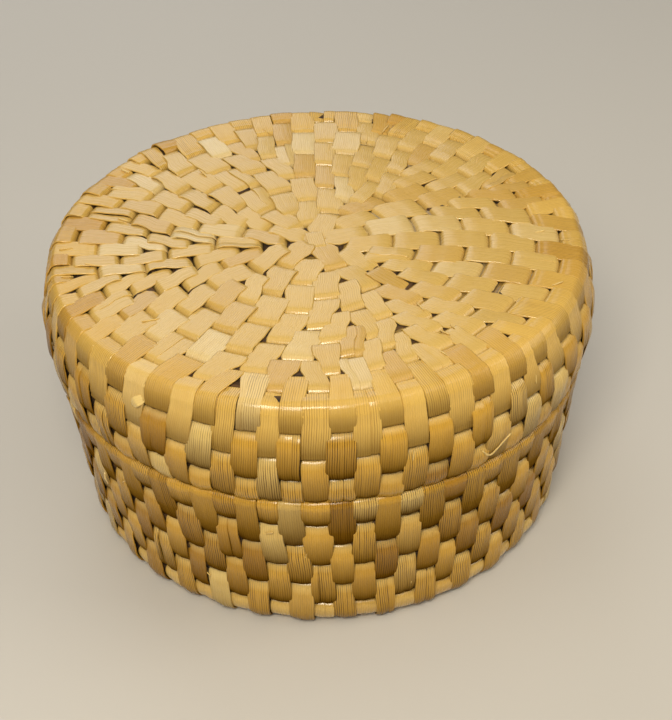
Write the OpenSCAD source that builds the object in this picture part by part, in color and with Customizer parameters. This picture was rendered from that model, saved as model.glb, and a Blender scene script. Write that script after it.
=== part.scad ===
// Round lidded basket, coiled from grass rope and lashed with flat leaf strips.
// Two woven bodies: a base with an upstanding collar, and a lid that lifts off it.
// Origin at the centre of the foot, on the surface the basket stands on. +Z is up.

/* [Size] */
// Radius of the crisp edge round the lid's top
edge_r = 115; // [105:1:125]
// Height of the lid from its hem to its top
lid_h = 48.5; // [44:0.5:52]
// Height of the base from the foot to its rim
base_h = 78; // [74:0.5:84]
// Height of the rim's row, which is taller than the rows below it
rim_row_h = 15.5; // [13:0.5:16]
// How far the lid's wall swells out beyond its top edge
lid_bulge = 4; // [0:0.5:6]
// How far the base draws in from its rim to its lowest wall row
base_taper = 8; // [4:0.5:9]

/* [Coils] */
// Thickness of a wall, coil and strips together
wall_t = 8.5; // [8:0.5:10]
// Width of one flat coil turn in the lid's top and the bottom
flat_pitch = 10.2; // [10:0.1:10.4]
// Gap left between neighbouring coil turns
coil_gap = 0.2; // [0.1:0.1:0.4]
// Height of each of the collar's two turns, the upper one standing above the rim
collar_h = 12; // [10:1:14]
// Side play of the lid on the collar
collar_play = 1.4; // [1:0.1:2]

/* [Strips] */
// Thickness of the leaf strips
strip_t = 1; // [0.8:0.1:1.2]
// Columns of strips round the wall, always an even count
columns = 76; // [72:4:80]
// Gap between neighbouring strips
strip_gap = 0.6; // [0.4:0.1:1]

/* [Hidden] */
$fn = 96;
lid_rows = 4;
base_rows = 6;
top_turns = 9;
bottom_turns = 8;
// The hem hangs this far above the rim, so the closed lid never rubs into it
seat_gap = 0.3;
lid_pitch = (lid_h - seat_gap) / lid_rows;
base_pitch = (base_h - rim_row_h) / (base_rows - 1);
top_z = base_h + lid_h;
core_t = wall_t - strip_t;
knot_r = edge_r - (top_turns + 1) * flat_pitch;
rim_r = edge_r + 0.6;
// A coil turn's section has corners rounded nearly to a half circle
round_r = 2.4;
edge_round_r = 3.5;
foot_round_r = 9;
// Strips round the foot stand off the turn's corner, so their flats clear its curve
foot_strip_gap = 0.3;
foot_coil_in_r = knot_r + bottom_turns * flat_pitch + coil_gap / 2;
foot_coil_out_r = rim_r - base_taper - strip_t;
collar_t = 5.5;
collar_out_r = rim_r - wall_t - collar_play;
// Strips in one ring over two rows: every second column
strip_half = columns / 2;
// The disc's middle and inner zones hold fewer columns, so strips keep near one width
middle_columns = strip_half;
inner_columns = 16;

// Outer surface, as [radius, height], at a row line counted down from the lid's edge
function lid_line(row) =
    let (s = row / lid_rows)
    [edge_r + lid_bulge * sin(180 * s) + (rim_r - edge_r) * s, top_z - row * lid_pitch];

// Outer surface at a row line counted down from the rim
function base_line(row) =
    let (drop = row == 0 ? 0 : rim_row_h + (row - 1) * base_pitch)
    [rim_r - base_taper * drop / (base_h - base_pitch), base_h - drop];

// Unit normal pointing out of the wall between two of its points, upper point first
function outward(a, b) = let (d = b - a) [-d[1], d[0]] / norm(d);

// Radius where the flat top's row lines lie, counted out from the centre knot
function flat_line(turn) = knot_r + turn * flat_pitch;

// Section of a coil turn, centred, with rounded corners
module coil_section(thick, tall, corner = round_r) {
    square([thick, tall - 2 * corner], center = true);
    square([thick - 2 * corner, tall], center = true);
    for (x = [-1, 1], y = [-1, 1])
        translate([x * (thick / 2 - corner), y * (tall / 2 - corner)]) circle(corner);
}

// Points round a centred box with rounded corners, five to a corner
function rounded_box(wide, tall) =
    [for (quarter = [0 : 3], step = [0 : 4])
        let (turn = 90 * quarter + 22.5 * step,
             x = quarter == 0 || quarter == 3 ? 1 : -1,
             y = quarter < 2 ? 1 : -1)
        [x * (wide / 2 - round_r), y * (tall / 2 - round_r)] + round_r * [cos(turn), sin(turn)]];

// A coil turn in a wall, between two points of the outer surface, upper point first. It leans
// with the wall but its ends are level, so turns stack without meeting where the wall curves
module wall_coil(a, b) {
    tall = a[1] - b[1];
    lean = (a[0] - b[0]) / tall;
    middle = (a + b) / 2 - [strip_t * norm(a - b) / tall + core_t / 2, 0];
    rotate_extrude()
        polygon([for (p = rounded_box(core_t, tall - coil_gap)) middle + [p[0] + lean * p[1], p[1]]]);
}

// A coil turn in a flat disc, between two radii, standing on height z
module flat_coil(r0, r1, z, thick) {
    rotate_extrude()
        translate([(r0 + r1) / 2, z + thick / 2])
            coil_section(r1 - r0 - coil_gap, thick);
}

// The knot of short turns that starts a disc
module centre_knot(z, thick) {
    rotate_extrude() {
        translate([0, z]) square([knot_r - coil_gap / 2 - round_r, thick]);
        translate([0, z + round_r]) square([knot_r - coil_gap / 2, thick - 2 * round_r]);
        for (h = [round_r, thick - round_r])
            translate([knot_r - coil_gap / 2 - round_r, z + h]) circle(round_r);
    }
}

// One strip lying along points of the outer surface, turned to its column
module strip(points, turn, columns_here) {
    angle = 360 / columns_here - 360 * strip_gap / (2 * PI * points[0][0]);
    last = len(points) - 1;
    under = [for (i = [last : -1 : 0])
        points[i] - strip_t * outward(points[max(i - 1, 0)], points[min(i + 1, last)])];
    rotate([0, 0, turn - angle / 2])
        rotate_extrude(angle = angle)
            polygon(concat(points, under));
}

// Point on the way from a to b, a set distance from a
function inset(a, b, distance) = a + (b - a) * distance / norm(b - a);

// A ring of strips along the same points, shifted round by a share of their spacing
module strip_ring(points, shift, count = strip_half, columns_here = columns) {
    last = len(points) - 1;
    trimmed = [for (i = [0 : last])
        i == 0 ? inset(points[0], points[1], strip_gap) :
        i == last ? inset(points[last], points[last - 1], strip_gap) : points[i]];
    for (i = [0 : count - 1]) strip(trimmed, (i + shift) * 360 / count, columns_here);
}

// A zone of the disc: rings of radial strips over two turns each, cut short at its ends
module disc_zone(first_line, last_line, columns_here) {
    low = flat_line(first_line - 0.5);
    high = flat_line(last_line + 0.5);
    for (line = [first_line : last_line]) {
        r0 = max(flat_line(line - 1), low);
        r1 = min(flat_line(line + 1), high);
        strip_ring([[r0, top_z], [r1, top_z]], line / 2, columns_here / 2, columns_here);
    }
}

module base_centre_knot() {
    color("goldenrod") centre_knot(0, wall_t);
}

module base_bottom_coil(i) {
    color("goldenrod") flat_coil(flat_line(i - 1), flat_line(i), 0, wall_t);
}

// The turn at the corner of the base, where the bottom becomes the wall
module base_foot_coil() {
    tall = base_pitch - coil_gap / 2;
    wide = foot_coil_out_r - foot_coil_in_r;
    low_centre = [wide - foot_round_r, foot_round_r];
    high_centre = [wide - round_r, tall - round_r];
    color("darkgoldenrod") rotate_extrude() translate([foot_coil_in_r, 0]) {
        square([low_centre[0], tall]);
        translate([0, foot_round_r]) square([wide, high_centre[1] - foot_round_r]);
        translate([0, high_centre[1]]) square([high_centre[0], round_r]);
        translate(high_centre) circle(round_r);
        intersection() {
            translate(low_centre) circle(foot_round_r);
            translate([low_centre[0], 0]) square(foot_round_r);
        }
    }
}

module base_wall_coil(i) {
    color("darkgoldenrod") wall_coil(base_line(i - 1), base_line(i));
}

module base_rim_coil() {
    color("goldenrod") wall_coil(base_line(0), base_line(1));
}

// The collar is two thinner turns sewn inside the rim; the lid drops over the upper one
module collar_coil(z0, z1) {
    color("peru") rotate_extrude()
        translate([collar_out_r - collar_t / 2, (z0 + z1) / 2])
            coil_section(collar_t, z1 - z0 - coil_gap);
}

// Outer surface round the foot, at an angle below the horizontal
function foot_point(angle) =
    [foot_coil_out_r - foot_round_r, foot_round_r]
    + (foot_round_r + foot_strip_gap + strip_t) * [cos(angle), -sin(angle)];

module base_wall_strips() {
    foot = [for (angle = [0, 25, 50]) foot_point(angle)];
    color("gold") {
        for (row = [0 : base_rows - 3])
            strip_ring([base_line(row), base_line(row + 1), base_line(row + 2)], row / 2 + 0.5);
        strip_ring(concat([base_line(base_rows - 2), base_line(base_rows - 1)], foot), 0.5);
        strip_ring(concat([base_line(base_rows - 1)], foot), 0);
    }
}

// Strips that come over the rim from inside and end one row down, between the wall's strips
module base_rim_binding() {
    color("khaki") strip_ring([base_line(0), base_line(1)], 0);
}

module lid_centre_knot() {
    color("goldenrod") centre_knot(top_z - wall_t, core_t);
}

module lid_top_coil(i) {
    color("goldenrod") flat_coil(flat_line(i - 1), flat_line(i), top_z - wall_t, core_t);
}

// The turn at the lid's corner, thicker than the wall and rounded along its top edge
module lid_edge_coil() {
    in_r = flat_line(top_turns) + coil_gap / 2;
    wide = edge_r - strip_t - in_r;
    tall = lid_pitch - strip_t - coil_gap / 2;
    color("darkgoldenrod") rotate_extrude()
        translate([in_r + wide / 2, top_z - strip_t - tall / 2])
            coil_section(wide, tall, edge_round_r);
}

module lid_wall_coil(i) {
    color("darkgoldenrod") wall_coil(lid_line(i - 1), lid_line(i));
}

module lid_hem_coil() {
    color("goldenrod") wall_coil(lid_line(lid_rows - 1), lid_line(lid_rows));
}

// The outer zone has as many columns as the wall, the zones inside it fewer
module lid_top_strips() {
    color("khaki") {
        disc_zone(5, 8, columns);
        disc_zone(2, 4, middle_columns);
        disc_zone(0, 1, inner_columns);
    }
}

// Strips that fold over the lid's edge, down one wall row or two
module lid_edge_strips() {
    in_point = [flat_line(top_turns - 1), top_z];
    mid_point = [flat_line(top_turns), top_z];
    fold = [for (angle = [90, 45, 0])
        [edge_r - edge_round_r, top_z - edge_round_r] + edge_round_r * [cos(angle), sin(angle)]];
    color("khaki") {
        strip_ring(concat([in_point, mid_point], fold, [lid_line(1)]), 0.5);
        strip_ring(concat([mid_point], fold, [lid_line(1), lid_line(2)]), 0);
    }
}

module lid_wall_strips() {
    color("gold") {
        strip_ring([lid_line(1), lid_line(2), lid_line(3)], 0.5);
        strip_ring([lid_line(2), lid_line(3), lid_line(4)], 0);
        strip_ring([lid_line(3), lid_line(4)], 0.5);
    }
}

base_centre_knot();
for (i = [1 : bottom_turns])
    base_bottom_coil(i);
base_foot_coil();
for (i = [2 : base_rows - 1])
    base_wall_coil(i);
base_rim_coil();
collar_coil(base_h - collar_h, base_h);  // collar_lower_coil
collar_coil(base_h, base_h + collar_h);  // collar_upper_coil
base_wall_strips();
base_rim_binding();
lid_centre_knot();
for (i = [1 : top_turns])
    lid_top_coil(i);
lid_edge_coil();
for (i = [2 : lid_rows - 1])
    lid_wall_coil(i);
lid_hem_coil();
lid_top_strips();
lid_edge_strips();
lid_wall_strips();
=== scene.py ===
import bpy
import numpy as np
from mathutils import Matrix, Vector


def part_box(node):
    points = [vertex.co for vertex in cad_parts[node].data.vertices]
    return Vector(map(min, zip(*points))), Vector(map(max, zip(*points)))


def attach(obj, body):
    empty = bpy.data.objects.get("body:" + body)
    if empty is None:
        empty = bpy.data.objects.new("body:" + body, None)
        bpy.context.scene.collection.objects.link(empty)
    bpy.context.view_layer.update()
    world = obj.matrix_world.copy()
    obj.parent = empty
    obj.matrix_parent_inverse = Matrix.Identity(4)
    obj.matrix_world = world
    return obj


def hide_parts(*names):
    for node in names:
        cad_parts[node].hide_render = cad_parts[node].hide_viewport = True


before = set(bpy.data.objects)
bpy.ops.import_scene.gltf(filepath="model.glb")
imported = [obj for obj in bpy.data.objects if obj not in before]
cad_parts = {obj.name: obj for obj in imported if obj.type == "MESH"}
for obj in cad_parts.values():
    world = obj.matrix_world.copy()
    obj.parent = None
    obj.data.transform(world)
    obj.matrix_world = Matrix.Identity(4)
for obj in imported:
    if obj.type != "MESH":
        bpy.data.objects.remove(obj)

TAU = 2 * np.pi
MM = 0.001

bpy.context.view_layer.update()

# ---------------------------------------------------------------------------------------------
# Camera. It looks down on the front of the basket from above the table, aimed a little right of
# the basket's middle. The whole of the lid's top shows, and the far wall is hidden.
# ---------------------------------------------------------------------------------------------
lid_top_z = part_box("lid_edge_strips")[1][2]
camera_fall = np.radians(37.5)
camera_roll = np.radians(-1.92)
camera_distance = 753.5 * MM
camera_target = Vector((6.8 * MM, 0, lid_top_z - 66.2 * MM))

forward = Vector((0, np.cos(camera_fall), -np.sin(camera_fall)))
level_right = Vector((1, 0, 0))
level_up = level_right.cross(forward)
right = level_right * np.cos(camera_roll) + level_up * np.sin(camera_roll)
up = level_up * np.cos(camera_roll) - level_right * np.sin(camera_roll)
camera_place = camera_target - forward * camera_distance

camera_data = bpy.data.cameras.new("camera")
camera_data.lens = 82.7
camera_data.sensor_width = 36
camera_data.clip_start = 0.01
camera = bpy.data.objects.new("camera", camera_data)
camera.matrix_world = Matrix((
    (right.x, up.x, -forward.x, camera_place.x),
    (right.y, up.y, -forward.y, camera_place.y),
    (right.z, up.z, -forward.z, camera_place.z),
    (0, 0, 0, 1),
))
bpy.context.collection.objects.link(camera)
bpy.context.scene.camera = camera


# ---------------------------------------------------------------------------------------------
# Grass rope. Every coil turn is a bundle of dry seagrass stems, laid side by side and lashed flat.
# Only slits of it show, in the grooves between the leaf strips. Its brown is made very dark there,
# partly its own dull brown and partly painted shade for those deep slits.
# ---------------------------------------------------------------------------------------------
def linear(code):
    """Turns an sRGB hex colour into linear red, green and blue, with full cover."""
    parts = np.array([int(code[i:i + 2], 16) / 255 for i in (1, 3, 5)])
    low, high = parts / 12.92, ((parts + 0.055) / 1.055) ** 2.4
    return (*np.where(parts <= 0.04045, low, high).tolist(), 1.0)


def add(tree, kind, inputs=None, **settings):
    """Adds one node, sets its settings, and gives each input, by its name or its number, its
    value or its link."""
    made = tree.nodes.new(kind)
    for name, value in settings.items():
        setattr(made, name, value)
    for name, value in (inputs or {}).items():
        if isinstance(value, bpy.types.NodeSocket):
            tree.links.new(value, made.inputs[name])
        else:
            made.inputs[name].default_value = value
    return made


def blank_material(name):
    """A new material with only its output node, and the node tree to build it in."""
    material = bpy.data.materials.new(name)
    material.use_nodes = True
    tree = material.node_tree
    tree.nodes.clear()
    return material, tree, add(tree, "ShaderNodeOutputMaterial")


def grass_rope():
    """Dry twisted seagrass: brown stems about 1.5 mm thick that run round the basket, near black to
    dark brown, partly their own dull brown and partly painted shade for the slits where they show.
    """
    material, tree, output = blank_material("dry_grass_rope")
    place = add(tree, "ShaderNodeTexCoord").outputs["Object"]
    parts = add(tree, "ShaderNodeSeparateXYZ", {0: place}).outputs
    squares = [add(tree, "ShaderNodeMath", {0: parts[i], 1: parts[i]}, operation="MULTIPLY")
               for i in (0, 1)]
    total = add(tree, "ShaderNodeMath", {0: squares[0].outputs[0], 1: squares[1].outputs[0]},
                operation="ADD")
    radius = add(tree, "ShaderNodeMath", {0: total.outputs[0]}, operation="SQRT").outputs[0]
    angle = add(tree, "ShaderNodeMath", {0: parts[1], 1: parts[0]}, operation="ARCTAN2").outputs[0]
    stem_stretch = 0.012
    stretched = add(tree, "ShaderNodeMath", {0: angle, 1: stem_stretch},
                    operation="MULTIPLY").outputs[0]
    along = add(tree, "ShaderNodeCombineXYZ", {0: radius, 1: stretched, 2: parts[2]}).outputs[0]
    stems = add(tree, "ShaderNodeTexNoise", {"Vector": along, "Scale": 700.0, "Detail": 3.0})
    # Painted shade: the stems' tones run down to near black, standing in for the shade in the slits.
    tone = add(tree, "ShaderNodeValToRGB", {0: stems.outputs[0]})
    tone.color_ramp.elements[0].position = 0.35
    tone.color_ramp.elements[0].color = linear("#1c1105")
    tone.color_ramp.elements[1].position = 0.72
    tone.color_ramp.elements[1].color = linear("#5a3c18")
    bump = add(tree, "ShaderNodeBump", {"Height": stems.outputs[0], "Strength": 0.8, "Distance": MM})
    surface = add(tree, "ShaderNodeBsdfPrincipled", {
        "Base Color": tone.outputs[0], "Roughness": 0.8, "Normal": bump.outputs[0]})
    tree.links.new(surface.outputs[0], output.inputs[0])
    return material


rope = grass_rope()
for node_name, node_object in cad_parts.items():
    if "coil" in node_name or "knot" in node_name:
        node_object.data.materials.clear()
        node_object.data.materials.append(rope)


# ---------------------------------------------------------------------------------------------
# Leaf strips of the lid's top. Flat strips of split, sun-dried leaf, 9 mm wide, lash each turn of
# rope to the one before it: a strip shows over two turns, then dives between the turns.
# The strip beside it starts one turn further on, so the strips lie like bricks.
# ---------------------------------------------------------------------------------------------
strip_width = 9.2 * MM
flat_pitch = 10.2 * MM
knot_radius = 13 * MM
wall_thickness = 8.5 * MM
hem_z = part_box("lid_wall_strips")[0][2] - 0.3 * MM
lid_height = lid_top_z - hem_z
edge_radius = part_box("lid_edge_coil")[1][0] + 1 * MM
lid_bulge = 4 * MM
hem_flare = 0.6 * MM
hem_radius = edge_radius + hem_flare


def arc(centre, radius, start, end, steps=14):
    """Points on a circle about centre in the (radius, height) plane, from start to end degrees."""
    turn = np.radians(np.linspace(start, end, steps))
    return np.stack([centre[0] + radius * np.cos(turn), centre[1] + radius * np.sin(turn)], 1)


def outline(*pieces):
    """One line through runs of (radius, height) points, with a new point every 0.25 mm.
    Gives its points, the distance along it, and the normal to the left of its way."""
    points = np.concatenate([np.atleast_2d(p) for p in pieces])
    steps = np.hypot(*np.diff(points, axis=0).T)
    points = points[np.r_[True, steps > 1e-6]]
    along = np.r_[0, np.cumsum(np.hypot(*np.diff(points, axis=0).T))]
    distance = np.linspace(0, along[-1], int(along[-1] / (0.25 * MM)))
    line = np.stack([np.interp(distance, along, points[:, i]) for i in (0, 1)], 1)
    way = np.gradient(line, axis=0)
    soft = np.hanning(9) / np.hanning(9).sum()
    way = np.stack([np.convolve(np.pad(way[:, i], 4, "edge"), soft, "valid") for i in (0, 1)], 1)
    way /= np.hypot(way[:, 0], way[:, 1])[:, None]
    return {"points": line, "distance": distance, "normal": np.stack([-way[:, 1], way[:, 0]], 1)}


def distance_at(line, radius, height):
    """Distance along an outline to its point nearest to a radius and a height."""
    return line["distance"][np.argmin(np.hypot(*(line["points"] - (radius, height)).T))]


def on_outline(line, distance, lift, angle):
    """The point at a distance along the outline, lifted along its normal, turned to an angle."""
    radius, height, out, upward = (
        np.interp(distance, line["distance"], values)
        for values in (*line["points"].T, *line["normal"].T))
    radius = radius + out * lift
    return np.stack([radius * np.cos(angle), radius * np.sin(angle), height + upward * lift], -1)


def columns_across(radii, width, chance):
    """Angles of the strips centred on each row line. Each strip sits between two strips of the
    line before; where a line has more strips a gap takes two, where it has fewer a gap is left."""
    evened, jitter = 0.38, 0.035
    lines = []
    for radius in radii:
        count = max(5, int(round(np.pi * radius / width)))
        if not lines:
            angles = np.arange(count) * TAU / count + chance.uniform(0, TAU)
        else:
            before = lines[-1]
            gap = np.diff(before, append=before[0] + TAU)
            shares = np.full(len(before), 1)
            extra = count - len(before)
            spread = (np.arange(abs(extra)) + chance.uniform(0, 1)) / max(1, abs(extra))
            picks = np.unique((spread * len(before)).astype(int) % len(before))
            shares[picks] += np.sign(extra)
            angles = np.concatenate([
                before[i] + gap[i] * (np.arange(n) + 0.5) / n for i, n in enumerate(shares) if n])
            even = np.arange(len(angles)) * TAU / len(angles)
            even += np.mean(angles - even)
            angles = (1 - evened) * angles + evened * even
            angles += chance.normal(0, jitter, len(angles)) * TAU / len(angles)
            angles = np.sort(angles)
        lines.append(angles)
    return lines


def share_ring(low, high):
    """Two sets of strips side by side in one ring: each strip's middle and width there, as
    angles, with every edge half way to the strip next to it."""
    both = np.concatenate([low, high]) % TAU
    order = np.argsort(both)
    placed = both[order]
    after = np.diff(placed, append=placed[0] + TAU)
    before = np.roll(after, 1)
    shift, width = np.empty(len(both)), np.empty(len(both))
    shift[order] = (after - before) / 4
    width[order] = (after + before) / 2
    cut = len(low)
    return (low + shift[:cut], width[:cut]), (high + shift[cut:], width[cut:])


# A strip's section, as (share of the half width, height in mm): nearly flat, with crisp edges
SECTION = np.array([
    (-1.0, -0.22), (-0.93, 0.02), (0.0, 0.16), (0.93, 0.02), (1.0, -0.22),
    (0.97, -0.7), (-0.97, -0.7)])
SECTION_CORNERS = (1, 3)


# No strip goes below the table: the ones round the foot lie flat on it
table_gap = 0.05 * MM


def shoulder(edge, bend):
    """How far up a strip stands, from 0 at its buried end to 1 a bend's length in: a curve
    like a rounded corner, steep at the end and easing into the flat."""
    near = np.clip(edge / bend, 0, 1)
    return np.clip(1 - (1 - near) ** 2.4, 0, 1) ** (1 / 1.8)


# A strip cut from one leaf is never wider than this
widest = 11.5 * MM


def lay_strips(line, low, high, middle, cells, chance, steps=12, bend=4 * MM, lift=-0.1, dive=2.8,
               barrel=0.0, crown=0.0, roll=0.0, full=1.10, split=0.1):
    """A set of strips that all run from one distance along an outline to another. Each follows
    the outline at its own height, dives at both ends like a rounded corner a bend long, passes
    from its place in the first ring to its place in the second as a smooth step, and is a little
    uneven. In mm, it lies at lift, dives by dive, swells along its length by barrel as a parabola
    and across its width by crown, and has a bell-shaped roll before each end. Its width is full
    times its cell's, and a share of the strips, split, are split in two along their length. Each
    strip has steps + 4 rings of points, closest together near its ends."""
    (start_angle, start_width), (end_angle, end_width) = cells
    count = len(start_angle)
    split_gap = 0.12
    doubled = chance.random(count) < split
    fold = chance.uniform(-0.35, 0.35, count)
    which = np.r_[np.arange(count), np.flatnonzero(doubled)]
    left, right = np.full(count, -1.0), np.where(doubled, fold, 1.0)
    left, right = np.r_[left, fold[doubled] - split_gap], np.r_[right, np.ones(doubled.sum())]
    total = len(which)

    def uneven(amount):
        return chance.normal(0, amount, total)[:, None]

    meet = 0.35 * MM
    run = (high - low) + 2 * meet
    near = np.array([0, 0.12, 0.26, 0.42, 0.62, 0.82, 1.05]) * bend / run
    share = np.r_[near, np.linspace(near[-1], 1 - near[-1], steps - 8)[1:-1], 1 - near[::-1]]
    share = share[None, :]
    distance = low - meet + run * share + uneven(0.3 * MM)

    turn_radius = np.interp(distance, line["distance"], line["points"][:, 0])
    seat = np.clip((distance - low) / (high - low), 0, 1)
    pivot = (middle - low) / (high - low)
    blend = np.clip((seat - pivot) / 0.5 + 0.5, 0, 1)
    blend = blend * blend * (3 - 2 * blend)
    angle = start_angle[which, None] * (1 - blend) + end_angle[which, None] * blend
    width = start_width[which, None] * (1 - blend) + end_width[which, None] * blend
    width = np.minimum(width, widest / turn_radius) * (full + uneven(0.06))

    edge = np.minimum(share, 1 - share) * run
    fall = shoulder(edge, bend)
    pinch = 0.9 - 0.12 * crown + (0.1 + 0.12 * crown) * np.clip(edge / (2 * MM), 0, 1) ** 0.6
    coils = -np.cos(2 * TAU * share)
    swell = barrel * 4 * share * (1 - share)
    rolled = np.exp(-((edge / bend - 0.42) / 0.2) ** 2)
    rolled -= 0.8 * np.exp(-((edge / bend - 0.85) / 0.2) ** 2)
    height = lift + 0.12 * coils + swell + roll * rolled + uneven(0.2) + uneven(0.35) * (share - 0.5)
    height = height * fall - dive * (1 - fall)
    twist = 0.18 + uneven(0.22)
    half = width * (right - left)[:, None] / 4 * pinch
    centre = angle + width * (left + right)[:, None] / 4
    centre = centre + (uneven(0.25) * np.sin(np.pi * share) + uneven(0.12)) * MM / turn_radius

    side = SECTION[:, 0]
    section = SECTION[:, 1] + crown * (side == 0)
    theta = centre[..., None] + half[..., None] * side
    rise = (height[..., None] + section * (0.6 + 0.4 * fall[..., None])
            + twist[..., None] * side * fall[..., None])
    distances = np.broadcast_to(distance[..., None], theta.shape)
    points = on_outline(line, distances, rise * MM, theta)
    points[..., 2] = np.maximum(points[..., 2], table_gap)
    across = half[..., None] * side * turn_radius[..., None]
    uv = np.stack([across, np.broadcast_to(distances - low, theta.shape)], -1)
    tint = np.broadcast_to(chance.random(count)[which][:, None, None], theta.shape)
    seed = np.broadcast_to(chance.random(total)[:, None, None], theta.shape)
    # groove, how far each point has dived, is the mask of the leaf's painted groove shade
    groove = np.broadcast_to((1 - fall)[..., None], theta.shape)
    # down, the share along each strip, is the mask of the leaf's painted shade and painted highlight
    down = np.broadcast_to(share[..., None], theta.shape)
    return {"points": points, "uv": uv, "tint": tint, "seed": seed, "groove": groove, "down": down}


def cross_strip(turn, shift, length, width, z, side_up, chance):
    """One straight strip laid across the middle of a disc, turned and shifted sideways."""
    share = np.linspace(0, 1, 12)
    along, side = (share - 0.5) * length, SECTION[:, 0] * width / 2 + shift
    fall = shoulder(np.minimum(share, 1 - share) * length, 4 * MM)
    grid = np.broadcast_to(along[:, None], (12, len(SECTION)))
    x = grid * np.cos(turn) - side * np.sin(turn)
    y = grid * np.sin(turn) + side * np.cos(turn)
    height = z + side_up * (SECTION[:, 1] - 2.8 * (1 - fall[:, None])) * MM
    uv = np.stack([np.broadcast_to(side, grid.shape), grid], -1)
    flat = {key: np.full((1, *grid.shape), chance.random()) for key in ("tint", "seed")}
    groove = np.broadcast_to(1 - fall[:, None], grid.shape)[None]
    return {"points": np.stack([x, y, height], -1)[None], "uv": uv[None], "groove": groove,
            "down": 0 * groove, **flat}


def middle_of_disc(z, side_up, chance):
    """The three strips that cross a disc's middle, on its upper side (1) or its lower side (-1)."""
    length, width = 17 * MM, 7.5 * MM
    return [cross_strip(turn, shift * MM, length, width, z + side_up * lift * MM, side_up, chance)
            for turn, shift, lift in ((0.3, 3.6, -0.5), (0.2, -3.8, -0.5), (1.75, 0.3, -0.1))]


def strip_mesh(name, sets, material, body):
    """Builds one object from sets of strips: closed skins of quads with a cap at each end."""
    vertices, faces, start = [], [], 0
    for part in sets:
        strips, rings, sides = part["points"].shape[:3]
        index = start + np.arange(strips * rings * sides).reshape(strips, rings, sides)
        turned = np.roll(index, -1, axis=2)
        quads = np.stack([index[:, :-1], index[:, 1:], turned[:, 1:], turned[:, :-1]], -1)
        faces += quads.reshape(-1, 4).tolist()
        faces += index[:, 0].tolist() + index[:, -1, ::-1].tolist()
        vertices.append(part["points"].reshape(-1, 3))
        start += strips * rings * sides
    mesh = bpy.data.meshes.new(name)
    mesh.from_pydata(np.concatenate(vertices), [], faces)
    mesh.shade_smooth()
    ends = np.empty(2 * len(mesh.edges), int)
    mesh.edges.foreach_get("vertices", ends)
    place = ends.reshape(-1, 2) % len(SECTION)
    sharp = (place[:, 0] == place[:, 1]) & np.isin(place[:, 0], SECTION_CORNERS)
    mesh.attributes.new("sharp_edge", "BOOLEAN", "EDGE").data.foreach_set("value", sharp)
    for key in ("tint", "seed", "groove", "down"):
        layer = mesh.attributes.new(key, "FLOAT", "POINT")
        layer.data.foreach_set("value", np.concatenate([p[key].ravel() for p in sets]))
    corner = np.empty(len(mesh.loops), int)
    mesh.loops.foreach_get("vertex_index", corner)
    spread = np.concatenate([p["uv"].reshape(-1, 2) for p in sets])
    mesh.uv_layers.new(name="strip").data.foreach_set("uv", spread[corner].ravel())
    mesh.materials.append(material)
    made = bpy.data.objects.new(name, mesh)
    bpy.context.collection.objects.link(made)
    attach(made, body)
    return made


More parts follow.
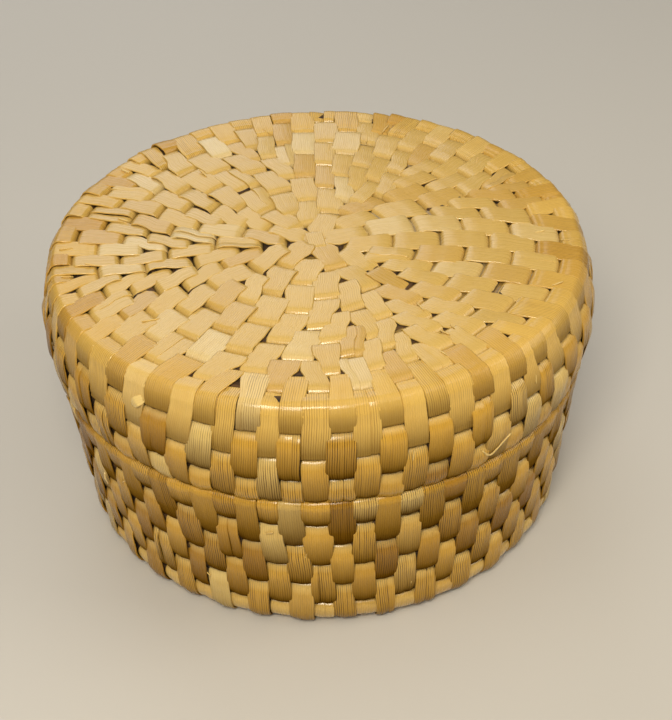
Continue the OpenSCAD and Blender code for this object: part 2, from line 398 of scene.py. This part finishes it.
def split_leaf(name, pale, straw, deep, vein, vein_share, gloss, shine, shade=0.0, shade_from=0.2,
               highlight_paint=0.0):
    """Split leaf, dried and flattened: satin under a wax film on top, with soft highlights. Fine brown
    veins run along it, 0.9 mm apart. Some strips are paler and some deeper, and all have ends
    darkened to near black with painted shade where they dive into the grooves.
    On a wall the leaf also has painted light: each strip's upper end is painted paler cream as a
    painted highlight, and from a share of its length on its lower end is painted browner as
    painted shade, with its shine fading out there."""
    material, tree, output = blank_material(name)
    spread = add(tree, "ShaderNodeUVMap", uv_map="strip").outputs[0]
    parts = add(tree, "ShaderNodeSeparateXYZ", {0: spread}).outputs
    values = {key: add(tree, "ShaderNodeAttribute", attribute_name=key).outputs["Fac"]
              for key in ("tint", "seed", "groove", "down")}

    def worked(first, second, operation="MULTIPLY"):
        return add(tree, "ShaderNodeMath", {0: first, 1: second}, operation=operation).outputs[0]

    across = worked(parts[0], worked(values["seed"], 0.2), "ADD")
    fibre_place = add(tree, "ShaderNodeCombineXYZ", {
        0: across, 1: worked(parts[1], 0.035), 2: values["seed"]}).outputs[0]
    fibres = add(tree, "ShaderNodeTexNoise", {
        "Vector": fibre_place, "Scale": 1100.0, "Detail": 3.0, "Roughness": 0.6}).outputs[0]
    drift_place = add(tree, "ShaderNodeCombineXYZ", {
        0: across, 1: worked(parts[1], 0.4), 2: values["seed"]}).outputs[0]
    drift = add(tree, "ShaderNodeTexNoise", {
        "Vector": drift_place, "Scale": 160.0, "Detail": 2.0}).outputs[0]
    bent = worked(across, worked(drift, 0.7 * MM), "ADD")
    vein_pitch = 0.92 * MM
    wave = add(tree, "ShaderNodeMath", {0: worked(bent, TAU / vein_pitch)}, operation="SINE")
    ridge = add(tree, "ShaderNodeMapRange", {
        "Value": wave.outputs[0], "From Min": 0.3, "From Max": 0.95}).outputs[0]
    patch = add(tree, "ShaderNodeMapRange", {
        "Value": fibres, "From Min": 0.3, "From Max": 0.55}).outputs[0]
    veined_share = add(tree, "ShaderNodeMapRange", {
        "Value": values["seed"], "From Min": 0.15, "From Max": 0.75, "To Min": 0.15 * vein_share,
        "To Max": vein_share}).outputs[0]
    veins = worked(worked(ridge, patch), veined_share)

    tone = add(tree, "ShaderNodeValToRGB", {0: values["tint"]})
    ramp = tone.color_ramp
    ramp.elements[0].position, ramp.elements[0].color = 0.0, linear(deep)
    ramp.elements[1].position, ramp.elements[1].color = 1.0, linear(pale)
    for position in (0.3, 0.8):
        ramp.elements.new(position).color = linear(straw)
    mottle = add(tree, "ShaderNodeMix", {
        "Factor": worked(drift, 0.5), "A": tone.outputs[0], "B": linear(deep)},
        data_type="RGBA")
    veined = add(tree, "ShaderNodeMix", {
        "Factor": veins, "A": mottle.outputs["Result"], "B": linear(vein)}, data_type="RGBA")
    # Painted shade: from shade_from of its length on, each strip is mixed towards dark brown, for the
    # shade under its lower end
    painted_shade = add(tree, "ShaderNodeMapRange", {
        "Value": values["down"], "From Min": shade_from, "From Max": 0.92,
        "To Max": shade}).outputs[0]
    # Painted highlight: the first few mm of each strip, its upper end on a wall, are mixed towards pale
    # cream
    painted_highlight = add(tree, "ShaderNodeMapRange", {
        "Value": values["down"], "From Min": 0.14, "From Max": 0.02, "To Max": highlight_paint}).outputs[0]
    painted_highlight_colour = add(tree, "ShaderNodeMix", {
        "Factor": painted_highlight, "A": veined.outputs["Result"], "B": linear("#f0d894")}, data_type="RGBA")
    painted_shade_colour = add(tree, "ShaderNodeMix", {
        "Factor": painted_shade, "A": painted_highlight_colour.outputs["Result"], "B": linear("#4c2f00")}, data_type="RGBA")
    # Shine and coat fade out under the painted shade, so the painted-dark part shows no reflection
    shine_fading_in_painted_shade = add(tree, "ShaderNodeMapRange", {
        "Value": painted_shade, "From Max": 0.7, "To Min": shine, "To Max": 0.0}).outputs[0]
    # Painted shade: each strip's ends darken towards near black where they dive into the grooves
    painted_groove_shade_colour = add(tree, "ShaderNodeMix", {
        "Factor": worked(worked(values["groove"], 2.4, "POWER"), 0.8),
        "A": painted_shade_colour.outputs["Result"], "B": linear("#3a2208")}, data_type="RGBA")
    relief = worked(fibres, worked(ridge, -0.6), "ADD")
    bump = add(tree, "ShaderNodeBump", {
        "Height": relief, "Strength": 0.6, "Distance": 0.15 * MM})
    rough = add(tree, "ShaderNodeMapRange", {
        "Value": fibres, "To Min": gloss - 0.08, "To Max": gloss + 0.12}).outputs[0]
    surface = add(tree, "ShaderNodeBsdfPrincipled", {
        "Base Color": painted_groove_shade_colour.outputs["Result"], "Roughness": rough,
        "Specular IOR Level": shine_fading_in_painted_shade, "Coat Weight": shine_fading_in_painted_shade, "Coat Roughness": 0.16,
        "Normal": bump.outputs[0]})
    tree.links.new(surface.outputs[0], output.inputs[0])
    return material


def lid_wall_radius(share):
    """The wall's outer radius at a share of the lid's height: half a sine wave of swell, and a
    slight flare towards the hem."""
    return edge_radius + lid_bulge * np.sin(np.pi * share) + hem_flare * share


lid_skin = 0.8 * MM
edge_round = 3.5 * MM
hem_corner = 2.2 * MM
under_corner = 4 * MM
under_radius = 103 * MM
under_z = lid_top_z - wall_thickness - lid_skin
sweep = np.linspace(edge_round / lid_height, 1, 40)
lid_wall_points = np.stack([lid_wall_radius(sweep), lid_top_z - lid_height * sweep], 1)
inner_wall_points = lid_wall_points[::-1] - (wall_thickness + lid_skin, 0)
inner_wall_points = inner_wall_points[inner_wall_points[:, 1] < lid_top_z - 14 * MM]
lid_line = outline(
    [(0, lid_top_z), (edge_radius - edge_round, lid_top_z)],
    arc((edge_radius - edge_round, lid_top_z - edge_round), edge_round, 90, 10),
    lid_wall_points[:-3],
    arc((hem_radius - hem_corner, hem_z + hem_corner), hem_corner, 0, -90),
    arc((hem_radius - wall_thickness + hem_corner, hem_z + hem_corner), hem_corner, -90, -180),
    inner_wall_points[3:],
    arc((under_radius, under_z - under_corner), under_corner, 0, 90),
    [(0, under_z)])

wall_row = lid_height / 4
lid_rows = [(knot_radius + i * flat_pitch, lid_top_z) for i in range(10)]
lid_rows += [(lid_wall_radius(i / 4), lid_top_z - i * wall_row) for i in (1, 2, 3)]
lid_rows += [(hem_radius - wall_thickness / 2, hem_z)]
lid_rows += [(lid_wall_radius(i / 4) - wall_thickness, lid_top_z - i * wall_row) for i in (3, 2)]
lid_rows += [(lid_wall_radius(0.25) - wall_thickness, lid_top_z - 1.2 * wall_row)]
lid_rows += [(knot_radius + i * flat_pitch, under_z) for i in range(9, -1, -1)]


def weave(line, rows, width, chance, wall_rows, wall_count):
    """Lays strips on every row line of an outline: where they sit, how wide each is, and the
    distances between which they run. The wall's rows all keep the same number of strips."""
    radii = np.array([r for r, z in rows])
    radii[wall_rows] = wall_count * width / np.pi
    distances = [distance_at(line, r, z) for r, z in rows]
    first_gap = min(flat_pitch, distances[0] * 0.8)
    last_gap = min(flat_pitch, (line["distance"][-1] - distances[-1]) * 0.8)
    distances = [distances[0] - first_gap, *distances, distances[-1] + last_gap]
    lines = columns_across(radii, width, chance)
    shared = [share_ring(a, b) for a, b in zip(lines[:-1], lines[1:])]
    lone = [share_ring(a, np.empty(0))[0] for a in (lines[0], lines[-1])]
    starts = [lone[0]] + [pair[1] for pair in shared]
    ends = [pair[0] for pair in shared] + [lone[1]]
    return [(distances[i], distances[i + 2], distances[i + 1], (starts[i], ends[i]))
            for i in range(len(rows))]


# Two rows of strips side by side go round the wall in 76 columns, so each row has half of them
columns = 76
chance = np.random.default_rng(7)
lid_weave = weave(lid_line, lid_rows, strip_width, chance, slice(9, 17), columns // 2)
# The top's leaf is paler than the wall's: partly sun fading and partly painted light, the lit copy of
# the same leaf
top_leaf = split_leaf("sun_faded_and_painted_light_leaf", pale="#d6c08a", straw="#cbaa5e", deep="#bf984a",
                      vein="#84602a", vein_share=0.22, gloss=0.26, shine=0.38)


def lay(line, woven, first, last, chance, **settings):
    """The sets of strips on row lines first to last of a weave."""
    return [lay_strips(line, low, high, middle, cells, chance, **settings)
            for low, high, middle, cells in woven[first:last + 1]]


def tucked_ends(line, woven, first, last, chance):
    """Short ends tucked into the grooves: small strips across each row line, 2 mm down, which
    show in the corners between the strips, coloured almost wholly with the painted groove shade.
    Fewer are kept towards the left side, so more of the dark rope shows between the strips there."""
    sets = []
    half_length = 2 * MM
    for low, _, _, ((angle, width), _) in woven[first:last + 1]:
        kept = np.cos(angle) > chance.uniform(-0.9, 0.2, len(angle))
        cell = (angle[kept], width[kept])
        ends = lay_strips(line, low - half_length, low + half_length, low, (cell, cell), chance,
                          bend=1.2 * MM, lift=-2.0, dive=1.0, full=1.35, split=0)
        # Painted shade: the tucked ends take nearly the full dark groove colour
        ends["groove"] = np.maximum(ends["groove"], 0.9)
        sets.append(ends)
    return sets


middle_strips = middle_of_disc(lid_top_z, 1, chance)
top_strips = lay(lid_line, lid_weave, 0, 8, chance, roll=0.15, full=1.13, bend=4.2 * MM, dive=3.2)
top_strips += tucked_ends(lid_line, lid_weave, 1, 9, chance)
lid_top = strip_mesh("lid_top_leaf", top_strips + middle_strips, top_leaf, "lid")
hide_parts("lid_top_strips")


# ---------------------------------------------------------------------------------------------
# Leaf strips of the lid's edge. The outermost strips of the top bend over the edge turn of rope
# and run on down the wall. They are the same leaf, with painted shade that browns them towards
# their lower ends, where they run down the wall.
# ---------------------------------------------------------------------------------------------
# Painted shade: colours a little deeper than the top's, and each edge strip mixed towards dark brown
# from 0.55 of its length on
edge_leaf = split_leaf("folded_split_leaf", pale="#e2cb90", straw="#d3ae5a", deep="#b98d3a",
                       vein="#5e3e0e", vein_share=0.6, gloss=0.24, shine=0.26, shade=0.62,
                       shade_from=0.55)
edge_strips = lay(lid_line, lid_weave, 9, 10, chance, steps=26, roll=0.3)
lid_edge = strip_mesh("lid_edge_leaf", edge_strips, edge_leaf, "lid")
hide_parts("lid_edge_strips")


# ---------------------------------------------------------------------------------------------
# Leaf strips of the lid's wall. Upright strips over the two wall turns and round the hem, pulled
# tight at their ends, so each swells between them. Their brown veins show, painted stronger than
# on the top, partly as painted shade of the light grazing the wall. Their leaf is painted deeper
# than the top's, partly as painted shade, with a painted highlight at each strip's upper end and
# painted shade down its lower part.
# ---------------------------------------------------------------------------------------------
wall_shape = {"bend": 7 * MM, "barrel": 0.8, "crown": 0.45}
# Painted light: deeper colours than the top's for shade, a cream painted highlight at each upper end and
# dark painted shade over the lower part
wall_leaf = split_leaf("golden_split_leaf", pale="#dcc078", straw="#cc9f40", deep="#966a1c",
                       vein="#2e1c04", vein_share=1.0, gloss=0.26, shine=0.22, shade=0.92,
                       shade_from=0.25, highlight_paint=0.35)
upright_strips = lay(lid_line, lid_weave, 11, 11, chance, **wall_shape)
upright_strips += lay(lid_line, lid_weave, 12, 14, chance, steps=24, **wall_shape)
lid_wall = strip_mesh("lid_wall_leaf", upright_strips, wall_leaf, "lid")
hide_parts("lid_wall_strips")


# ---------------------------------------------------------------------------------------------
# Loose fibres of the lid. A bent stem has broken out of the wall, the stub of a strip stands out
# under the edge, and thin fibres have lifted off the strips.
# ---------------------------------------------------------------------------------------------
def sliver(line, distances, angles, lifts, width, chance):
    """A loose end or broken stem: a thin strip along a few given places on an outline, each a
    distance, an angle in degrees and a lift, with its width tapered to its ends."""
    share = np.linspace(0, 1, 10)
    knots = np.linspace(0, 1, len(angles))
    distance, angle, lift = (np.interp(share, knots, v) for v in (distances, angles, lifts))
    middle = on_outline(line, distance, lift, np.radians(angle))
    normal = on_outline(line, distance, lift + MM, np.radians(angle)) - middle
    side = np.cross(np.gradient(middle, axis=0), normal)
    side /= np.linalg.norm(side, axis=1)[:, None]
    half = width / 2 * (1 - 0.7 * np.abs(2 * share - 1) ** 3)
    across = half[:, None] * SECTION[:, 0]
    points = middle[:, None] + side[:, None] * across[..., None]
    points = points + normal[:, None] * SECTION[:, 1, None] * 0.6
    uv = np.stack([across, np.broadcast_to(distance[:, None], across.shape)], -1)
    # With down at zero, a sliver in the wall's leaf carries its full cream painted highlight
    same = np.zeros((1, *across.shape))
    return {"points": points[None], "uv": uv[None], "tint": same + chance.uniform(0.7, 1),
            "seed": same + 0.1, "groove": same, "down": same}


def lifted_fibres(line, woven, first, last, count, chance):
    """Thin fibres, 3 to 7 mm long, that start on a row line and have lifted at one end."""
    fibres = []
    for _ in range(count):
        start = woven[chance.integers(first, last)][2]
        turn, slant = chance.uniform(0, 360), chance.normal(0, 1.2)
        length = chance.uniform(3, 7) * MM
        lifts = [0.1 * MM, chance.uniform(0.2, 1.1) * MM]
        width = chance.uniform(0.3, 0.8) * MM
        fibres.append(sliver(line, [start, start + length], [turn, turn + slant], lifts, width, chance))
    return fibres


def lid_wall_at(heights):
    """Distances along the lid's outline to places on its wall, given their heights in mm."""
    return [distance_at(lid_line, edge_radius + 3 * MM, z * MM) for z in heights]


chance = np.random.default_rng(5)
bent_stem = sliver(lid_line, lid_wall_at([89, 85, 84, 89, 94]), [-57.5, -56.0, -55.0, -53.3, -51.6],
                   [0.4 * MM, 0.9 * MM, 1.3 * MM, 1.9 * MM, 2.6 * MM], 0.9 * MM, chance)
stub = sliver(lid_line, lid_wall_at([118, 116, 113]), [-125.6, -127.0, -128.2],
              [-0.6 * MM, 1.8 * MM, 0.6 * MM], 4.5 * MM, chance)
strip_mesh("lid_loose_fibres", [bent_stem, stub] + lifted_fibres(lid_line, lid_weave, 5, 12, 26, chance),
           wall_leaf, "lid")


# ---------------------------------------------------------------------------------------------
# Leaf strips inside the lid. The same strips come through to the inner side of the wall and to
# the underside of the top.
# ---------------------------------------------------------------------------------------------
inner_strips = lay(lid_line, lid_weave, 15, 26, chance)
inner_strips += middle_of_disc(under_z, -1, chance)
strip_mesh("lid_inside_leaf", inner_strips, top_leaf, "lid")


# ---------------------------------------------------------------------------------------------
# Rim strips of the base. In every second column a strip comes up inside, goes over the rim turn of
# rope and ends a row down outside. The outline and the weave of the whole base are here too.
# ---------------------------------------------------------------------------------------------
rim_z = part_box("base_rim_coil")[1][2]
rim_radius = hem_radius
rim_row = 15.5 * MM
base_row = (rim_z - rim_row) / 5
base_taper = 8 * MM
foot_round = 10 * MM
foot_radius = rim_radius - base_taper
skin = 0.9 * MM


def base_wall_radius(z):
    """The wall's outer radius at a height: a straight taper from the rim to the lowest row."""
    return rim_radius - base_taper * (rim_z - z) / (rim_z - base_row)


floor_in = wall_thickness + skin
floor_radius = 86 * MM
floor_corner = 7 * MM
inner_wall_low, inner_wall_high = 24 * MM, 60 * MM
rim_corner = 2.6 * MM
rim_top = rim_z - 0.3 * MM
base_heights = [rim_z - rim_row - i * base_row for i in range(5)]
base_line = outline(
    [(0, floor_in), (floor_radius, floor_in)],
    arc((floor_radius, floor_in + floor_corner), floor_corner, -90, -20),
    [(base_wall_radius(z) - wall_thickness - skin, z)
     for z in np.linspace(inner_wall_low, inner_wall_high, 12)],
    arc((rim_radius - wall_thickness - skin + rim_corner, rim_top - rim_corner), rim_corner, 180, 90),
    arc((rim_radius - rim_corner, rim_top - rim_corner), rim_corner, 90, 0),
    [(base_wall_radius(z), z) for z in np.linspace(rim_z - 4 * MM, foot_round + 3 * MM, 12)],
    arc((foot_radius - foot_round, foot_round), foot_round, 0, -90),
    [(foot_radius - foot_round, skin), (0, skin)])
inner_corner_row = (94 * MM, 20 * MM)
inner_heights = [37.5 * MM, 50 * MM, base_heights[0]]
base_rows = [(knot_radius + i * flat_pitch, floor_in) for i in range(8)]
base_rows += [inner_corner_row]
base_rows += [(base_wall_radius(z) - wall_thickness - skin, z) for z in inner_heights]
base_rows += [(rim_radius - wall_thickness + 1.2 * MM, rim_top)]
base_rows += [(base_wall_radius(z), z) for z in base_heights]
base_rows += [(knot_radius + i * flat_pitch, skin) for i in range(8, -1, -1)]
chance = np.random.default_rng(19)
base_weave = weave(base_line, base_rows, strip_width, chance, slice(9, 19), columns // 2)
# Painted shade: the rim's strips are the wall's leaf, browned from 0.66 of their length on, the part
# that runs down outside
rim_leaf = split_leaf("rim_split_leaf", pale="#dcc078", straw="#cc9f40", deep="#966a1c",
                      vein="#2e1c04", vein_share=1.0, gloss=0.26, shine=0.22, shade=0.92,
                      shade_from=0.66)
rim_strips = strip_mesh("rim_leaf", lay(base_line, base_weave, 12, 12, chance, steps=26, **wall_shape),
                        rim_leaf, "base")
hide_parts("base_rim_binding")


# ---------------------------------------------------------------------------------------------
# Wall strips of the base. Upright strips over the wall turns, in brick order. The first row starts
# under the collar and crosses the rim, and the last one turns under the foot.
# ---------------------------------------------------------------------------------------------
under_collar = 7 * MM
first_low, first_high, first_middle, first_cells = base_weave[13]
base_weave[13] = (first_low - under_collar, first_high, first_middle, first_cells)
upright_strips = lay(base_line, base_weave, 13, 13, chance, steps=26, **wall_shape)
upright_strips += lay(base_line, base_weave, 14, 15, chance, **wall_shape)
upright_strips += lay(base_line, base_weave, 16, 17, chance, steps=24, **wall_shape)
base_wall = strip_mesh("base_wall_leaf", upright_strips, wall_leaf, "base")
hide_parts("base_wall_strips")


# ---------------------------------------------------------------------------------------------
# Loose fibres of the base. Two broken stems stand out, one at the front and one on the left, and
# thin fibres have lifted off the wall's strips.
# ---------------------------------------------------------------------------------------------
def base_wall_at(heights):
    """Distances along the base's outline to places on its wall, given their heights in mm."""
    return [distance_at(base_line, base_wall_radius(z * MM), z * MM) for z in heights]


upper_stem = sliver(base_line, base_wall_at([61, 59]), [-100.4, -102.0], [1.5 * MM, 0.9 * MM], 1.2 * MM,
                    chance)
lower_stem = sliver(base_line, base_wall_at([53, 50, 47]), [-146.4, -145.6, -145.4],
                    [0.4 * MM, 1.7 * MM, 1.2 * MM], 1.6 * MM, chance)
fibres = lifted_fibres(base_line, base_weave, 13, 17, 34, chance)
strip_mesh("base_loose_fibres", [upper_stem, lower_stem] + fibres, wall_leaf, "base")


# ---------------------------------------------------------------------------------------------
# Leaf strips inside the base. The same strips come through to the inner side of the wall and
# to the floor of the basket.
# ---------------------------------------------------------------------------------------------
inner_strips = lay(base_line, base_weave, 0, 11, chance)
inner_strips += middle_of_disc(floor_in, 1, chance)
strip_mesh("base_inside_leaf", inner_strips, top_leaf, "base")


# ---------------------------------------------------------------------------------------------
# Leaf strips of the bottom. They turn under the foot and lash the bottom turns of rope, and the
# basket stands on them.
# ---------------------------------------------------------------------------------------------
under_strips = lay(base_line, base_weave, 18, 18, chance, steps=24)
under_strips += lay(base_line, base_weave, 19, 26, chance)
under_strips += middle_of_disc(skin, -1, chance)
strip_mesh("base_bottom_leaf", under_strips, top_leaf, "base")


# ---------------------------------------------------------------------------------------------
# Bottom rope. The turns of grass rope in the bottom and at the foot, a strip's thickness above
# the table, because the leaf strips of the underside lie between them and it.
# ---------------------------------------------------------------------------------------------
def rope_turn(name, inner, outer, low, high, corner, foot_corner):
    """A turn of rope: a rectangle with round corners, turned about the basket's axis."""
    corners = [arc((outer - foot_corner, low + foot_corner), foot_corner, -90, 0, 6),
               arc((outer - corner, high - corner), corner, 0, 90, 4)]
    if inner > 0:
        corners += [arc((inner + corner, high - corner), corner, 90, 180, 4),
                    arc((inner + corner, low + corner), corner, 180, 270, 4)]
    else:
        corners += [np.array([(0, high), (0, low)])]
    section = np.concatenate(corners)
    facets = 96
    turn = np.arange(facets) * TAU / facets
    points = np.stack([
        np.outer(np.cos(turn), section[:, 0]), np.outer(np.sin(turn), section[:, 0]),
        np.broadcast_to(section[:, 1], (facets, len(section)))], -1)
    index = np.arange(points.size // 3).reshape(points.shape[:2])
    quads = np.stack([index, np.roll(index, -1, 0), np.roll(index, (-1, -1), (0, 1)),
                      np.roll(index, -1, 1)], -1).reshape(-1, 4)
    mesh = bpy.data.meshes.new(name)
    mesh.from_pydata(points.reshape(-1, 3), [], quads.tolist())
    mesh.shade_smooth()
    mesh.materials.append(rope)
    made = bpy.data.objects.new(name, mesh)
    bpy.context.collection.objects.link(made)
    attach(made, "base")
    return made


rope_low = 1.7 * MM
rope_corner = 2.4 * MM
knot_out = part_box("base_centre_knot")[1][0]
middle_rope = rope_turn("bottom_knot_rope", 0, knot_out, rope_low, wall_thickness, rope_corner,
                        rope_corner)
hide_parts("base_centre_knot")
for i in range(1, 9):
    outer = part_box(f"base_bottom_coil_{i}")[1][0]
    turn_rope = rope_turn(f"bottom_rope_{i}", outer - flat_pitch + 0.2 * MM, outer, rope_low,
                          wall_thickness, rope_corner, rope_corner)
    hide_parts(f"base_bottom_coil_{i}")
foot_rope = rope_turn("foot_rope", outer + 0.2 * MM, foot_radius - 1.4 * MM, rope_low,
                      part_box("base_foot_coil")[1][2], rope_corner, 8 * MM)
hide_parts("base_foot_coil")


# ---------------------------------------------------------------------------------------------
# Collar. Two thinner turns of rope sewn inside the rim, lashed with the same leaf, which the lid
# drops over.
# ---------------------------------------------------------------------------------------------
collar_low, collar_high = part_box("collar_lower_coil")[0][2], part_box("collar_upper_coil")[1][2]
collar_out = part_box("collar_upper_coil")[1][0]
collar_thick = 5.5 * MM
collar_in = collar_out - collar_thick - 0.6 * MM
collar_line = outline(
    [(collar_out + 0.3 * MM, rim_z - 2 * MM), (collar_out + 0.3 * MM, collar_high - 2.6 * MM)],
    arc((collar_out - collar_thick / 2 + 0.2 * MM, collar_high - 2.6 * MM), collar_thick / 2, 0, 180),
    [(collar_in, collar_high - 3 * MM), (collar_in, collar_low)])
collar_rows = [(collar_out, rim_z + 1.5 * MM), (collar_in, collar_high - 3 * MM),
               (collar_in, rim_z), (collar_in, collar_low + MM)]
chance = np.random.default_rng(43)
collar_columns = 72
collar_weave = weave(collar_line, collar_rows, strip_width, chance, slice(0, 4),
                     collar_columns // 2)
strip_mesh("collar_leaf", lay(collar_line, collar_weave, 0, 3, chance, steps=20), top_leaf, "base")


# ---------------------------------------------------------------------------------------------
# Studio: a plain pale floor, soft light from above, and four light panels round the basket.
# ---------------------------------------------------------------------------------------------
def plain(name, colour, roughness):
    """A plain painted surface in one colour."""
    material, tree, output = blank_material(name)
    surface = add(tree, "ShaderNodeBsdfPrincipled", {
        "Base Color": linear(colour), "Roughness": roughness})
    tree.links.new(surface.outputs[0], output.inputs[0])
    return material


floor_mesh = bpy.data.meshes.new("floor")
floor_mesh.from_pydata([(-4, -4, 0), (4, -4, 0), (4, 4, 0), (-4, 4, 0)], [], [(0, 1, 2, 3)])
floor_mesh.materials.append(plain("pale_floor", "#bcb8b1", 0.7))
floor = bpy.data.objects.new("floor", floor_mesh)
bpy.context.collection.objects.link(floor)


def panel(name, place, target, size, power, colour):
    """A square light panel at a place, turned to face a target."""
    data = bpy.data.lights.new(name, "AREA")
    data.size = size
    data.energy = power
    data.color = linear(colour)[:3]
    light = bpy.data.objects.new(name, data)
    light.location = place
    light.rotation_euler = (Vector(target) - Vector(place)).to_track_quat("-Z", "Y").to_euler()
    bpy.context.collection.objects.link(light)


ceiling_glow = bpy.data.lights.new("ceiling_light", "SUN")
ceiling_glow.energy = 0.95
ceiling_glow.angle = 1.2
ceiling_glow.color = linear("#fffaf0")[:3]
ceiling = bpy.data.objects.new("ceiling_light", ceiling_glow)
ceiling.rotation_euler = (0.15, 0, 0)
bpy.context.collection.objects.link(ceiling)
panel("panel_front", (-0.10, -0.78, 0.9), (0, 0, 0.08), 0.36, 10.4, "#fff6e4")
panel("panel_behind", (-0.3, 0.95, 0.75), (0, 0, 0.08), 0.8, 3.6, "#ffffff")
panel("panel_right", (0.95, -0.15, 0.6), (0, 0, 0.08), 0.6, 4.0, "#fff6e4")
panel("panel_left", (-0.95, -0.35, 0.4), (0, 0, 0.05), 0.6, 1.5, "#fff6e4")
world = bpy.data.worlds.new("studio")
bpy.context.scene.world = world
world.use_nodes = True
world.node_tree.nodes["Background"].inputs["Color"].default_value = linear("#eef1f4")
world.node_tree.nodes["Background"].inputs["Strength"].default_value = 0.07
bpy.context.scene.view_settings.view_transform = "Standard"
